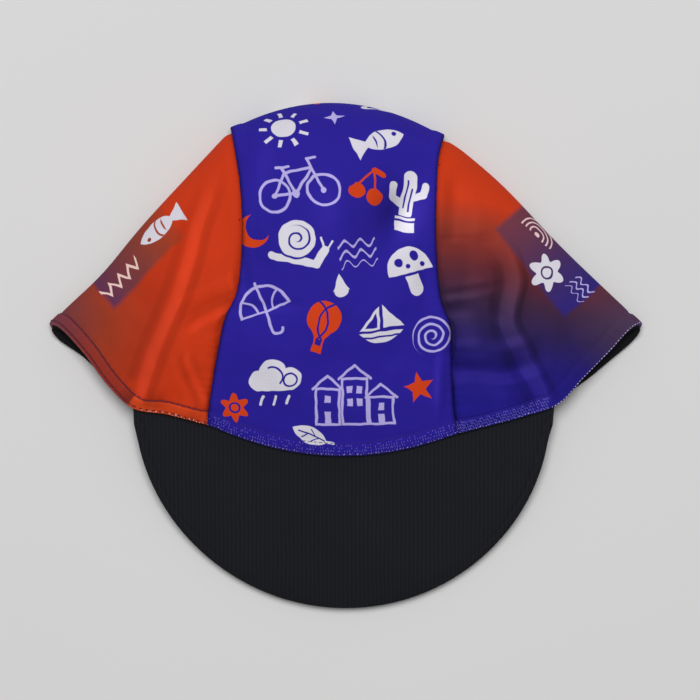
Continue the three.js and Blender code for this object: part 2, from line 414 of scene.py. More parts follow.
def denser(line, step=0.25):
    """The same line with points at equal steps."""
    run = run_of(line)
    return placed(line, run, np.arange(0, run[-1], step))


# Sharper folds of the upper layer, all in millimetres: the points that a fold runs through, and
# its heights across, first at its start and then at its end, each with the distance from the
# line, which counts to the right.
folds = [
    (
        [
            (-87, 10), (-83.2, 20.8), (-78.8, 33.3), (-73.6, 45.8), (-68.4, 58.3), (-64.2, 70.8),
            (-61.4, 83.3), (-57.3, 95.8), (-54, 108), (-51, 120),
        ],
        [
            (-8, 0), (-2.3, 0.03), (-1.8, 0.1), (2.4, 1.4), (2.8, 1.46), (3.2, 1.4), (7, 0.5),
            (12, -0.2), (17, 0.0), (22, 0.3), (28, 0),
        ],
        [
            (-14, 0.3), (-8, 0), (-3, -0.8), (-2.5, -0.75), (2.2, 0.6), (2.6, 0.66), (4, 0.5),
            (7, 0.1), (12, 0.1), (20, 0),
        ],
    ),
    (
        [(-42, 54), (-45.5, 53), (-53, 50), (-60, 46.5), (-70, 39)],
        [(-10, 0), (-4, 0.2), (-1, -0.5), (0, -0.6), (2.5, 0), (5, 0.6), (8, 0.4), (14, 0)],
        [(-8, 0), (-4, 0.2), (-1, -0.3), (0, -0.4), (2.5, 0), (5, 0.3), (8, 0.2), (12, 0)],
    ),
    (
        [(-68, 32), (-65, 24), (-61.5, 16), (-58, 8)],
        [(-6, 0), (-3, 0.2), (0, -0.3), (3, 0.15), (6, 0)],
        [(-6, 0), (-3, 0.2), (0, -0.3), (3, 0.15), (6, 0)],
    ),
    (
        [
            (87, 5), (83.2, 12.4), (79, 20.8), (76.7, 24.9), (74.4, 29.1), (72.8, 33.3),
            (70.5, 37.4), (68.2, 41.6), (67.2, 45.8), (67.6, 50), (68.4, 54.1), (69.8, 60.4),
            (69, 66.6), (66.4, 73), (61.5, 79.1), (55, 84),
        ],
        [
            (-22, 0), (-15, 0.25), (-9, 0.6), (-4, 1.1), (0, 1.75), (1.5, 2.0), (2.1, 1.9),
            (4.3, 0.6), (6.5, 0.2), (9, 0.1), (14, 0),
        ],
        [
            (-22, 0), (-13, 0.5), (-9.5, 0.3), (-6, -0.5), (-4.4, -0.8), (-2.5, -0.5), (0, 0.2),
            (2.2, 0.8), (3.2, 0.7), (5.6, 0.1), (9, 0), (14, 0),
        ],
    ),
    (
        [(34, 80), (40, 80.5), (47, 81), (56, 82), (63, 84)],
        [(-10, 0), (-3, 0.5), (-0.5, 0.7), (2.5, 0), (5.5, -0.6), (9, -0.5), (15, 0)],
        [(-10, 0), (-3, 0.3), (-0.5, 0.4), (2.5, 0), (5.5, -0.4), (9, -0.3), (15, 0)],
    ),
    (
        [(34, 54), (42, 56), (51.5, 57.5), (66, 60)],
        [(-6, 0), (-3, 0.3), (0, -0.45), (3, 0.3), (6, 0)],
        [(-6, 0), (-3, 0.2), (0, -0.3), (3, 0.2), (6, 0)],
    ),
    (
        [(34, 46), (42, 48.5), (51.5, 49), (60, 45.5), (66, 42)],
        [(-8, 0), (-5, 0.4), (0, -1.0), (3, 0.1), (6, 0.8), (10, 0.7), (17, 0)],
        [(-8, 0), (-5, 0.3), (0, -0.7), (3, 0.1), (6, 0.5), (10, 0.5), (17, 0)],
    ),
    (
        [(33, 22), (41, 24), (51.5, 25), (64, 24), (77, 27), (86, 31)],
        [(-16, 0), (-10, 1.9), (-6, 1.1), (0, -1.9), (2.5, -0.9), (6, 0.5), (10, 0.5), (15, 0)],
        [(-14, 0), (-9, 1.2), (-6, 0.6), (0, -1.2), (2.5, -0.6), (6, 0.3), (10, 0.3), (15, 0)],
    ),
    (
        [(41, 76), (41.7, 86), (42.2, 96), (41.5, 110)],
        [(-5, 0), (-3, 0), (0, -0.7), (2.5, -1.0), (7, -0.7), (14, -0.2), (20, 0)],
        [(-5, 0), (-3, 0), (0, -0.5), (2.5, -0.7), (7, -0.5), (14, -0.1), (20, 0)],
    ),
]


def across_fold(distance, knots):
    """The height of a fold at distances from its line, smooth through the knots."""
    d, h = np.array(knots, float).T
    gap_to_next = np.diff(d)
    slope = np.diff(h) / gap_to_next
    same_way = slope[:-1] * slope[1:] > 0
    tangent = np.zeros(len(d))
    total = np.where(same_way, slope[:-1] + slope[1:], 1)
    tangent[1:-1] = np.where(same_way, 2 * slope[:-1] * slope[1:] / total, 0)
    x = np.clip(distance, d[0], d[-1])
    n = np.clip(np.searchsorted(d, x) - 1, 0, len(d) - 2)
    t = (x - d[n]) / gap_to_next[n]
    rise = h[n] * (1 + 2 * t) * (1 - t) ** 2 + h[n + 1] * t * t * (3 - 2 * t)
    bend = tangent[n] * t * (1 - t) ** 2 - tangent[n + 1] * t * t * (1 - t)
    return rise + gap_to_next[n] * bend


def folded(x, y):
    """The summed height of the folds at every point of a grid."""
    total = np.zeros_like(x)
    for points, at_start, at_end in folds:
        line = curve_at([(px, py, 0.0) for px, py in points], 1)(np.linspace(0, 2, 90))[:, :2]
        nearest_yet = np.full(x.shape, 1e9)
        aside = np.zeros_like(x)
        run = np.zeros_like(x)
        for n, (a, b) in enumerate(zip(line[:-1], line[1:])):
            ahead = b - a
            t = np.clip(((x - a[0]) * ahead[0] + (y - a[1]) * ahead[1]) / ahead.dot(ahead), 0, 1)
            dx, dy = x - a[0] - t * ahead[0], y - a[1] - t * ahead[1]
            away = np.hypot(dx, dy)
            closer = away < nearest_yet
            on_left = ahead[0] * dy - ahead[1] * dx > 0
            aside = np.where(closer, np.where(on_left, -away, away), aside)
            run = np.where(closer, (n + t) / (len(line) - 1), run)
            nearest_yet = np.where(closer, away, nearest_yet)
        late = smooth(run, 0.25, 0.55)
        height = across_fold(aside, at_start) * (1 - late) + across_fold(aside, at_end) * late
        total += height * smooth(run, 0, 0.2) * smooth(1 - run, 0, 0.2)
    return total


def painted_light_slope(height_at, x, y):
    """How steeply the cloth leans toward the left, the side it takes more light from, for the
    painted light and shade of its colour.
    """
    dx, dy = light_step
    return height_at(x + dx, y + dy) - height_at(x - dx, y - dy)


def upper(share):
    """Where the upper layer is free to rise: not at the rim, at the fold or behind it."""
    inside = smooth(1 - share, 0.02, 0.22) * smooth(share, 0.0, 0.12)
    return np.where(share >= 1, 0, inside)


def normals_of(grid, sign):
    """Outward directions at the points of a grid, also where a row has shrunk to a point."""
    side = np.gradient(grid, axis=1)
    along = np.gradient(grid, axis=0)
    side[0], side[-1] = side[1], side[-2]
    return unit(np.cross(side, along) * sign)


def tree_of(points):
    """The points of a line, ready to be searched for the nearest one."""
    tree = KDTree(len(points))
    for n, p in enumerate(points):
        tree.insert(p, n)
    tree.balance()
    return tree


def nearest(points, line):
    """Distance to a line of points, and the place along it, at every point of a grid."""
    tree, run = tree_of(line), run_of(line)
    distance = np.zeros(points.shape[:2])
    place = np.zeros(points.shape[:2])
    for j, i in np.ndindex(*distance.shape):
        _, n, distance[j, i] = tree.find(points[j, i])
        place[j, i] = run[n]
    return distance, place


def crumple(grid, seed):
    """Faint unevenness of the soft cloth, in millimetres."""
    out = np.zeros(grid.shape[:2])
    for j, i in np.ndindex(*out.shape):
        x, y = grid[j, i, :2]
        broad = noise.noise(Vector((x / 17, y / 21, seed)))
        fine = noise.noise(Vector((x / 6, y / 8, seed + 5)))
        out[j, i] = 1.7 * broad + 0.45 * fine
    return out


def unfold(near, far, start, front_side):
    """Lays the strip between two lines flat, from the fold both ways, with its true sizes."""
    near_flat, far_flat = np.zeros((2, len(near), 2))

    def apart(a, b):
        return np.linalg.norm(a - b)

    def apex(a, b, from_a, from_b, side):
        """The third corner of a triangle on a to b, with its two sides."""
        base = max(apart(a, b), 1e-6)
        e = (b - a) / base
        x = (from_a**2 - from_b**2 + base**2) / (2 * base)
        h = math.sqrt(max(from_a**2 - x**2, 0))
        return a + e * x + np.array([-e[1], e[0]]) * h * side

    near_flat[start] = near[start, :2]
    lean = unit(far[start, :2] - near[start, :2])
    far_flat[start] = near_flat[start] + lean * apart(far[start], near[start])
    for step, side in ((-1, front_side), (1, -front_side)):
        k = start
        while 0 <= k + step < len(near):
            n = k + step
            a, b = near_flat[k], far_flat[k]
            if apart(near[n], far[n]) < 0.5:
                near_flat[n], far_flat[n] = a, b
            else:
                c = apex(a, b, apart(near[n], near[k]), apart(near[n], far[k]), side)
                near_flat[n] = c
                far_flat[n] = apex(c, b, apart(far[n], near[n]), apart(far[n], far[k]), side)
            k = n
    return near_flat, far_flat


def to_frame(points):
    """From the drawing of the cap in millimetres to metres in the frame."""
    return (np.asarray(points) - origin) * 0.001


def shell_object(name, outer, inner, cloth_map, flip, **marks):
    """A closed sheet of cloth between two grids that meet at their edges, with named numbers."""
    rows, columns = outer.shape[:2]
    points = to_frame([outer, inner]).reshape(-1, 3)
    index = np.arange(rows * columns).reshape(rows, columns)
    a, b, c, d = index[:-1, :-1], index[:-1, 1:], index[1:, 1:], index[1:, :-1]
    upper_faces = np.stack([a, b, c, d], axis=-1).reshape(-1, 4)
    below = rows * columns
    sides = [
        (index[0, :-1], index[0, 1:]),
        (index[-1, 1:], index[-1, :-1]),
        (index[1:, 0], index[:-1, 0]),
        (index[:-1, -1], index[1:, -1]),
    ]
    edge_faces = [np.stack([q, p, p + below, q + below], axis=-1) for p, q in sides]
    faces = np.concatenate([upper_faces, upper_faces[:, ::-1] + below, *edge_faces])
    if flip:
        faces = faces[:, ::-1]
    mesh = bpy.data.meshes.new(name)
    mesh.from_pydata(points.tolist(), [], faces.tolist())
    layer = mesh.uv_layers.new(name="cloth")
    flat = np.tile(cloth_map.reshape(-1, 2), (2, 1))
    corner = np.zeros(len(mesh.loops), dtype=int)
    mesh.loops.foreach_get("vertex_index", corner)
    layer.data.foreach_set("uv", (flat[corner] / map_span + 0.5).astype(np.float32).ravel())
    for mark, values in marks.items():
        numbers = np.tile(values.ravel(), 2).astype(np.float32)
        mesh.attributes.new(mark, "FLOAT", "POINT").data.foreach_set("value", numbers)
    piece = bpy.data.objects.new(name, mesh)
    scene.collection.objects.link(piece)
    edit = bmesh.new()
    edit.from_mesh(mesh)
    bmesh.ops.remove_doubles(edit, verts=edit.verts, dist=2e-6)
    bmesh.ops.dissolve_degenerate(edit, edges=edit.edges, dist=1e-7)
    edit.to_mesh(mesh)
    edit.free()
    for polygon in mesh.polygons:
        polygon.use_smooth = True
    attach(piece, "root")
    return piece


map_span = 400.0  # millimetres of cloth across the whole map
map_level = 30.8  # how far up the cap the middle of the map lies


def rounded(distance, thickness):
    """How thick a cloth edge is, as a share, so that it ends in a round lip."""
    t = np.clip(distance / (thickness * 0.5), 0, 1)
    return np.sqrt(np.maximum(1 - (1 - t) ** 2, 0))


class Panel:
    """One sewn panel: its grid, directions, distances to its edges and the map of its cloth."""

    def dress(self, seed, sign, rim_edges, seam_edges, proud):
        """Adds the hem, the seams and the uneven cloth, and gives the panel its thickness."""
        self.normals = normals_of(self.grid, sign)
        rim, rim_run = nearest(self.grid, rim_edges)
        seam, seam_run = nearest(self.grid, seam_edges)
        free = upper(shares)[:, None]
        lift = crumple(self.grid, seed) * free * smooth(rim, 2, 14) * smooth(seam, 1, 9)
        hem = hem_swell * (1 - smooth(rim, hem_width - 0.5, hem_width + 0.4))
        hem = hem - groove_depth * bell(rim - hem_width, 0.45)
        pucker = pucker_height * np.sin(rim_run * 1.75) * bell(rim - hem_width, 3.2)
        gather = np.sin(seam_run * 1.5 + np.sin(seam_run * 0.37) * 2)
        gather = gather_height * gather * bell(seam, 5.0) * smooth(rim, 1, 8)
        if proud:
            step = edge_step * (1 - smooth(seam, edge_fold - 1.4, edge_fold + 0.8))
            lap = seam_lap * (1 - smooth(seam, 0, edge_fold))
            self.grid[..., 0] += np.where(across < 0.5, -1, 1) * lap
        else:
            step = -seam_ditch * (1 + smooth(rim, 24, 38)) * bell(seam, 2.8)
        outward = lift + hem + pucker + gather + step * smooth(rim, 0.5, 5)
        floor_side = (shares > 1.06)[:, None]
        outward = np.where(floor_side, np.minimum(outward, 0) * 0.4, outward)
        thin = rounded(np.minimum(rim, seam), wall)[..., None]
        middle = self.grid - self.normals * wall / 2
        out = self.normals * (outward[..., None] * np.clip(thin, 0.25, 1) + wall / 2 * thin)
        self.outer = on_floor(middle + out)
        self.inner = middle - self.normals * wall / 2 * thin
        # The lean mark carries the painted light and shade of the folds into the cloth's colour.
        self.marks = {"rim": rim, "seam": seam, "lean": np.clip(self.lean, -1, 1)}


def between(near, far):
    """A grid that runs straight across from one line to another."""
    return near[:, None] * (1 - across)[None, :, None] + far[:, None] * across[None, :, None]


centre = Panel()
middle_share = 4 * across * (1 - across)
centre.grid = between(*seam_lines)
centre.grid[..., 1] += bows[:, 2:3] * middle_share
centre.grid[..., 2] += bows[:, 0:1] * middle_share
# The frame's origin is under the middle of the cap.
low = np.array(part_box("centre_panel")[0]) * 1000
origin = centre.grid.reshape(-1, 3).min(axis=0) - low
origin[2] = 0.0
x, y, free = centre.grid[..., 0], centre.grid[..., 1], upper(shares)[:, None]
# Painted light and shade on the centre panel, from the slopes of its ridges and hollows.
centre.lean = painted_light_slope(relief_at, x, y) * free * centre_painted_light_gain
centre.grid[..., 2] += relief_at(x, y) * free
centre_rim = np.vstack([denser(centre.grid[0]), denser(centre.grid[-1])])
centre_seams = np.vstack([denser(centre.grid[:, 0]), denser(centre.grid[:, -1])])
centre.dress(3.0, 1, centre_rim, centre_seams, True)

# The cloth map keeps true sizes: across from the middle of the panel, along from mid height.
mid_row = int(np.searchsorted(shares, 0.46))
mid_column = len(across) // 2
steps_across = np.linalg.norm(np.diff(centre.grid, axis=1), axis=-1)
steps_along = np.linalg.norm(np.diff(centre.grid, axis=0), axis=-1)
run_across = np.pad(np.cumsum(steps_across, axis=1), ((0, 0), (1, 0)))
run_along = np.pad(np.cumsum(steps_along, axis=0), ((1, 0), (0, 0)))
map_middle = centre.grid[mid_row, mid_column, :2] - (0, map_level)
centre.map = np.stack(
    [
        run_across - run_across[:, mid_column : mid_column + 1] + map_middle[0],
        run_along - run_along[mid_row : mid_row + 1] + map_middle[1],
    ],
    axis=-1,
)


def panel_object(name, panel, flip):
    return shell_object(name, panel.outer, panel.inner, panel.map, flip, **panel.marks)


centre_piece = panel_object("centre_panel_cloth", centre, False)
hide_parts("centre_panel")

ink_white = shade(222, 219, 230)
ink_lilac = shade(186, 176, 232)
ink_orange = shade(214, 66, 22)
# Painted highlight: a pale tint laid over cloth that leans toward the light.
painted_highlight_tint = shade(226, 186, 180)
rib_pitch = 1.12
course_pitch = 1.45


class Cloth(Recipe):
    """The nodes of a cloth, on its flat map in millimetres."""

    def __init__(self, name, start=None, repeat=None):
        super().__init__(name)
        flat = self.add("ShaderNodeUVMap", {"uv_map": "cloth"}, {})
        flat = self.vector("SUBTRACT", flat, (0.5, 0.5, 0.0))
        self.plain = self.vector("SCALE", flat, scale=map_span)
        wobble = self.mottle(self.plain, 0.16, 1.0, output=1)
        wobble = self.vector("SUBTRACT", wobble, (0.5, 0.5, 0.5))
        self.inked = self.vector("ADD", self.plain, self.vector("SCALE", wobble, scale=1.6))
        if repeat:
            u, v = self.parts(self.inked)
            v = (v - start).math("FLOORED_MODULO", repeat) + start
            self.inked = self.add("ShaderNodeCombineXYZ", {}, {0: u, 1: v})

    def vector(self, operation, *values, scale=None):
        """Vector Math, whose last input is the scale. Numbers come from its second output."""
        inputs = dict(enumerate(values))
        if scale is not None:
            inputs["Scale"] = scale
        number = operation in ("DISTANCE", "LENGTH", "DOT_PRODUCT")
        return self.add("ShaderNodeVectorMath", {"operation": operation}, inputs, int(number))

    def parts(self, vector):
        x = self.add("ShaderNodeSeparateXYZ", {}, {0: vector})
        return x, Wire(self, x.socket.node.outputs[1])

    def mark(self, name):
        """A number that the mesh carries."""
        return self.add("ShaderNodeAttribute", {"attribute_name": name}, {}, output=2)

    def ramp(self, value, *stops):
        """Screen colours that run into each other, each after its place from 0 to 1."""
        colour = self.add("ShaderNodeValToRGB", {}, {"Fac": value})
        elements = colour.socket.node.color_ramp.elements
        while len(elements) < len(stops):
            elements.new(0.5)
        for element, (place, *tint) in zip(elements, stops):
            element.position = place
            element.color = (*shade(*tint), 1)
        return colour

    def spot(self, x, y, turn=0.0, size=1.0):
        """The cloth seen from one place on it, turned and sized."""
        values = {"Vector": self.inked, "Location": (x, y, 0), "Scale": (size, size, 1)}
        values["Rotation"] = (0, 0, math.radians(turn))
        return Spot(self, self.add("ShaderNodeMapping", {"vector_type": "TEXTURE"}, values))


class Spot:
    """A place on a cloth, and shapes round it as distances in millimetres outside their edge."""

    def __init__(self, cloth, place):
        self.cloth = cloth
        self.place = place

    def parts(self):
        return self.cloth.parts(self.place)

    def length(self):
        return self.cloth.vector("LENGTH", self.place)

    def shifted(self, x, y):
        return Spot(self.cloth, self.cloth.vector("SUBTRACT", self.place, (x, y, 0)))

    def disc(self, x, y, radius):
        return self.cloth.vector("DISTANCE", self.place, (x, y, 0)) - radius

    def discs(self, first, *others):
        return self.disc(*first).least(*(self.disc(*other) for other in others))

    def rings(self, width, *discs):
        first, *others = (self.disc(*disc).line(width) for disc in discs)
        return first.least(*others)

    def bar(self, width, *points):
        """A round-ended stroke from point to point."""
        strokes = []
        for start, end in zip(points, points[1:]):
            a, b = np.array((*start, 0.0)), np.array((*end, 0.0))
            reach = b - a
            away = self.cloth.vector("SUBTRACT", self.place, tuple(a))
            share = self.cloth.vector("DOT_PRODUCT", away, tuple(reach / reach.dot(reach)))
            share = share.math("ADD", 0.0, clamp=True)
            foot = self.cloth.vector("SCALE", tuple(reach), scale=share)
            strokes.append(self.cloth.vector("DISTANCE", away, foot) - width / 2)
        return strokes[0].least(*strokes[1:])

    def side(self, turn, reach):
        """What lies within reach of the middle in one direction."""
        facing = (math.cos(math.radians(turn)), math.sin(math.radians(turn)), 0)
        return self.cloth.vector("DOT_PRODUCT", self.place, facing) - reach

    def block(self, x, y, half_x, half_y):
        p, q = self.parts()
        return (abs(p - x) - half_x).most(abs(q - y) - half_y)

    def sector(self, count):
        """Distance from the middle and the angle from the nearest of count spokes."""
        p, q = self.parts()
        return self.length(), p.math("ARCTAN2", q).math("PINGPONG", math.pi / count)

    def spokes(self, count, start, end, width):
        length, angle = self.sector(count)
        aside = length * angle.math("SINE") - width / 2
        return aside.most(abs(length - (start + end) / 2) - (end - start) / 2)

    def star(self, count, outer, inner):
        length, angle = self.sector(count)
        corner = math.pi / count
        facing = math.atan2(outer - inner * math.cos(corner), inner * math.sin(corner))
        return length * (angle - facing).math("COSINE") - outer * math.cos(facing)


def sun(m):
    return m.disc(0, 0, 4.6).least(m.spokes(9, 6.2, 9.4, 1.5))


def fish(m):
    body = m.disc(0, -5.4, 9.4).most(m.disc(0, 5.4, 9.4))
    tail = m.side(52, -3.4).most(m.side(-52, -3.4), m.side(180, 11.5))
    stripes = m.rings(0.7, (-5.4, 0, 5.6), (-8.6, 0, 5.6)).most(m.side(180, 3.4), body)
    return body.least(tail).without(m.disc(4.2, 1.2, 0.85), stripes)


def spiral(m, reach, pitch, width):
    x, y = m.parts()
    turn = y.math("ARCTAN2", x) / (2 * math.pi)
    length = m.length()
    lap = (length / pitch - turn).math("FRACT")
    line = abs(lap - 0.5) * pitch - width / 2
    return line.most(length - reach, 1.0 - length)


def snail(m):
    shell = m.disc(-1.5, 2.4, 6.2).without(spiral(m.shifted(-1.5, 2.4), 4.6, 2.7, 0.7))
    foot = m.bar(2.6, (-8.6, -4.6), (6.4, -4.6)).least(m.bar(2.7, (6.4, -4.2), (8.2, 0.6)))
    horns = m.bar(0.7, (7.6, 0.6), (6.4, 4.4)).least(m.bar(0.7, (8.8, 0.6), (10.0, 4.0)))
    return shell.least(foot.without(m.disc(-1.5, 2.4, 6.9)), horns)


def bicycle(m):
    wheels = m.rings(0.95, (-8.6, -3, 5.6), (8.8, -3, 5.6))
    hubs = m.discs((-8.6, -3, 1.0), (8.8, -3, 1.0), (-1.0, -3.4, 1.3))
    tubes = m.bar(0.95, (5.6, 4.2), (-1.0, -3.4), (-8.6, -3), (-3.6, 4.4), (5.4, 5.0))
    seat = m.bar(0.95, (-1.0, -3.4), (-4.0, 6.2)).least(m.bar(0.95, (-6.2, 6.6), (-1.8, 6.4)))
    return wheels.least(hubs, tubes, seat, m.bar(0.95, (8.8, -3), (4.8, 8.2), (8.0, 8.6)))


def mushroom(m):
    dots = m.discs((-3.4, 3.4, 1.4), (2.6, 4.6, 1.7), (4.9, 1.4, 0.9), (-0.6, 1.6, 0.8))
    stem = m.bar(5.0, (0, -2.2), (0.4, -6.4)).most(m.side(90, -1.5))
    return m.disc(0, 0, 8.2).most(m.side(-90, 0.6)).without(dots).least(stem)


def zigzag(m, half, step, height, width):
    x, y = m.parts()
    line = (x + 200).math("PINGPONG", step) * (height / step) - height / 2
    slope = math.cos(math.atan(height / step))
    return (abs(y - line) * slope - width / 2).most(abs(x) - half)


def waves(m, half, length, height, width):
    x, y = m.parts()
    away = y - (x * (2 * math.pi / length)).math("SINE") * height
    rows = (away + 100).math("PINGPONG", 2.2)
    stroke = (2.2 - rows) * 0.85 - width / 2
    return stroke.most(abs(x) - half, abs(away) - 5.4)


def leaf(m):
    blade = m.disc(7.2, 0, 11.2).most(m.disc(-7.2, 0, 11.2))
    rib = m.bar(0.7, (0, -9.6), (0, 5.5))
    veins = m.bar(0.55, (0, -2.5), (2.6, 0.4)).least(
        m.bar(0.55, (0, 0.8), (-2.4, 3.4)), m.bar(0.55, (0, -4.4), (-2.5, -1.6))
    )
    return blade.without(rib, veins).least(m.bar(1.1, (0, -8), (0.8, -11.5)))


def umbrella(m):
    dome = m.disc(0, 0, 9.4).most(m.side(-90, 0))
    top = dome.line(0.95).most(m.side(-90, 0.3))
    ribs = m.rings(0.75, (-9.5, 0, 6.6), (9.5, 0, 6.6)).most(dome)
    hook = m.disc(1.8, -7.6, 1.8).line(0.95).most(m.side(90, -7.6))
    return top.least(ribs, m.bar(0.95, (0, 10.8), (0, -7.6)), hook)


def balloon(m):
    taper = m.side(-34, 4.4).most(m.side(214, 4.4), m.side(90, 1.4), m.side(-90, 5.4))
    bag = m.disc(0, 3, 6.4).least(taper).without(m.rings(0.75, (-7.2, 1, 9.0), (7.2, 1, 9.0)))
    ropes = m.bar(0.65, (-1.5, -8), (-1.7, -5)).least(m.bar(0.65, (1.5, -8), (1.7, -5)))
    return bag.least(m.block(0, -9.2, 1.9, 1.5), ropes)


def crescent(m, radius):
    return m.disc(0, 0, radius).without(m.disc(radius * 0.42, radius * 0.18, radius * 0.82))


def cloud(m):
    puffs = m.discs((-5.8, 0, 3.9), (-0.6, 2.8, 5.2), (5.6, 0.6, 4.1))
    curl = m.disc(-0.4, 1.6, 3.4).line(0.7).most(m.side(215, -0.8))
    curl = curl.least(m.disc(5.6, 0.2, 2.3).line(0.7).most(m.side(160, -2.6)))
    rain = [m.bar(0.9, (x, -6), (x - 1.2, -8.8)) for x in (-4.6, 0, 4.6)]
    return puffs.least(m.bar(4.6, (-5.8, -1.6), (5.8, -1.4))).without(curl).least(*rain)


def cactus(m):
    left_arm = m.bar(2.9, (0, -2.2), (-6, -0.4), (-6.2, 3.8))
    right_arm = m.bar(2.9, (0, 0), (5.6, 2.2), (5.9, 5.6))
    cuts = m.bar(0.65, (-0.9, -3), (-0.9, 6.6)).least(m.bar(0.65, (1, -4), (1, 4)))
    pot = m.block(0, -9.2, 3.7, 2.6).without(m.block(0, -8.0, 5, 0.4))
    plant = m.bar(5.0, (0, -5), (0, 8)).least(left_arm, right_arm)
    return plant.without(cuts, m.block(0, -7.1, 6, 1.0)).least(pot)


def flower(m, radius):
    x, y = m.parts()
    petals = (x.math("ARCTAN2", y) * 6).math("COSINE") * (radius * 0.2)
    edge = m.length() - petals - radius * 0.78
    return edge.without(m.disc(0, 0, radius * 0.3).line(0.8))


def boat(m):
    hull = m.disc(0, 4.6, 10.2).most(m.side(90, -1.6)).without(m.bar(0.7, (-9, -3.4), (9, -3.4)))
    sail = m.side(42, 6.2).most(m.side(180, -0.8), m.side(-90, 0.2))
    jib = m.side(138, 5.0).most(m.side(0, -0.8), m.side(-90, 0.2))
    return hull.least(sail, jib.line(0.9))


def houses(m):
    shapes = []
    for wall in ((-9.5, -2.5, 4.2, 6.5), (9.8, -4, 4.4, 5.0), (0.2, -0.5, 4.4, 8.5)):
        shapes.append(m.block(*wall).line(0.9))
    for x, eaves, reach in ((-9.5, 4, 5.4), (0.2, 8, 5.8), (9.8, 1, 5.6)):
        shapes.append(m.bar(0.9, (x - reach, eaves), (x, eaves + 5), (x + reach, eaves)))
    for x, y in ((-9.5, 0.4), (-1.6, 4), (2, 4), (-1.6, -0.6), (2, -0.6), (9.8, -2.6)):
        shapes.append(m.block(x, y, 1.0, 1.3))
    return m.block(-9.5, -6.5, 1.1, 2.2).least(m.block(9.8, -7, 1.1, 1.8), *shapes)


def cherries(m):
    shine = m.disc(-5, -2.6, 1.9).line(0.7).most(m.side(-45, -3.2))
    stalks = m.bar(0.9, (-4, -1), (1.4, 6.4), (3.6, -2))
    fruit = m.discs((-4, -3.6, 3.5), (3.6, -4.8, 3.5)).without(shine)
    return fruit.least(stalks, m.bar(2.6, (1.8, 6.4), (5.6, 5.2)))


def peaks(m):
    tall = m.side(33, 5.4).most(m.side(147, 5.4))
    low = m.side(36, 8.2).most(m.side(150, -2.6))
    snow = zigzag(m.shifted(0, 4.4), 6, 1.9, 2.4, 0.8)
    cut = m.bar(0.75, (6.2, -1), (2.6, -6))
    return tall.least(low).most(m.side(-90, 5.6)).without(snow.least(cut))


def planet(m):
    x, y = m.parts()
    tilted = m.cloth.add("ShaderNodeCombineXYZ", {}, {0: x, 1: y * 3.4 - x * 0.8})
    length = m.cloth.vector("LENGTH", tilted)
    return m.disc(0, 0, 5.6).without(length - 10.8).least(abs(length - 9.6) * 0.42 - 0.55)


def drop(m):
    tip = m.side(26, 2.4).most(m.side(154, 2.4), m.side(-90, 1.4))
    return m.disc(0, -1.5, 2.8).least(tip)


# What is drawn on the panel, its sizes, its place on the cloth map, turn, size and ink.
centre_motifs = [
    (sun, (), -25, 96, 12, 1.15, ink_white),
    (Spot.star, (4, 4.4, 1.5), -4, 103, 10, 1.0, ink_lilac),
    (fish, (), 17, 92, 24, 1.2, ink_white),
    (bicycle, (), -20, 70, 9, 1.2, ink_lilac),
    (cherries, (), 9.5, 71, -12, 1.0, ink_orange),
    (cactus, (), 27, 66, -8, 1.15, ink_white),
    (crescent, (6.8,), -39, 50, 20, 1.0, ink_orange),
    (snail, (), -19, 44, -10, 1.25, ink_white),
    (waves, (8, 6.5, 1.5, 0.95), 5, 43, 8, 1.0, ink_lilac),
    (mushroom, (), 27, 36, 16, 1.2, ink_white),
    (drop, (), -2, 28, 10, 1.0, ink_white),
    (umbrella, (), -33, 17, 24, 1.15, ink_lilac),
    (balloon, (), -9, 12, -10, 1.1, ink_orange),
    (boat, (), 15, 12, 8, 1.15, ink_white),
    (spiral, (8.6, 2.9, 0.95), 37, 9, 0, 1.0, ink_lilac),
    (cloud, (), -27, -12, 6, 1.15, ink_white),
    (houses, (), 6, -19, 3, 1.15, ink_lilac),
    (Spot.star, (5, 6.4, 2.8), 33, -13, 14, 1.05, ink_orange),
    (flower, (6.5,), -44, -25, 5, 1.0, ink_orange),
    (leaf, (), -12, -35, 66, 0.9, ink_white),
    (flower, (7.2,), -12, 121, 5, 1.0, ink_orange),
    (peaks, (), -28, 120, 6, 1.1, ink_white),
    (planet, (), 17, 117, 14, 1.0, ink_white),
]


def printed(cloth, ground, motifs, edge_tint, seam_shade_reach):
    """Draws the motifs over the ground, adds the fine ribs and short stitches of the knit, paints
    shade along the seams, and paints light and shade on the folds.
    """
    colour = ground
    for draw, sizes, x, y, turn, size, tint in motifs:
        shape = draw(cloth.spot(x, y, turn, size), *sizes)
        colour = cloth.mix(shape.inside(), colour, tint)
    u, v = cloth.parts(cloth.plain)
    rib = (u + cloth.mottle(cloth.plain, 0.08, 2.0) * 0.9).wave(rib_pitch)
    course = (v + abs(rib - 0.5) * 0.6).wave(course_pitch)
    speck = cloth.mottle(cloth.plain, 2.2, 3.0)
    broad = cloth.mottle(cloth.plain, 0.045, 3.0)
    tone = (rib * 0.014 + course * 0.008 + speck * 0.09 + 0.945) * (broad * 0.14 + 0.93)
    rim, seam, lean = (cloth.mark(name) for name in ("rim", "seam", "lean"))
    # Painted light and shade on the folds: lighter where the cloth leans toward the left, darker
    # where it leans away.
    # Painted shade along the ditch of every seam, where the panel edges roll down into it.
    tone = tone * (1 - seam.near(seam_shade_reach) * 0.75) * (lean * 0.42 + 1)
    edge = rim.near(0.85) * (speck * 1.6 - 0.2)
    tinted = cloth.mix(edge * 0.5, cloth.vector("SCALE", colour, scale=tone), edge_tint)
    # Painted highlight: a faint pale haze on the slopes that lean toward the light.
    tinted = cloth.mix(lean.most(0.0) * 0.018, tinted, painted_highlight_tint)
    height = rib * 0.7 + course * 0.25 + speck * 0.35
    return cloth.finish(tinted, 0.82, height, relief=0.00005)


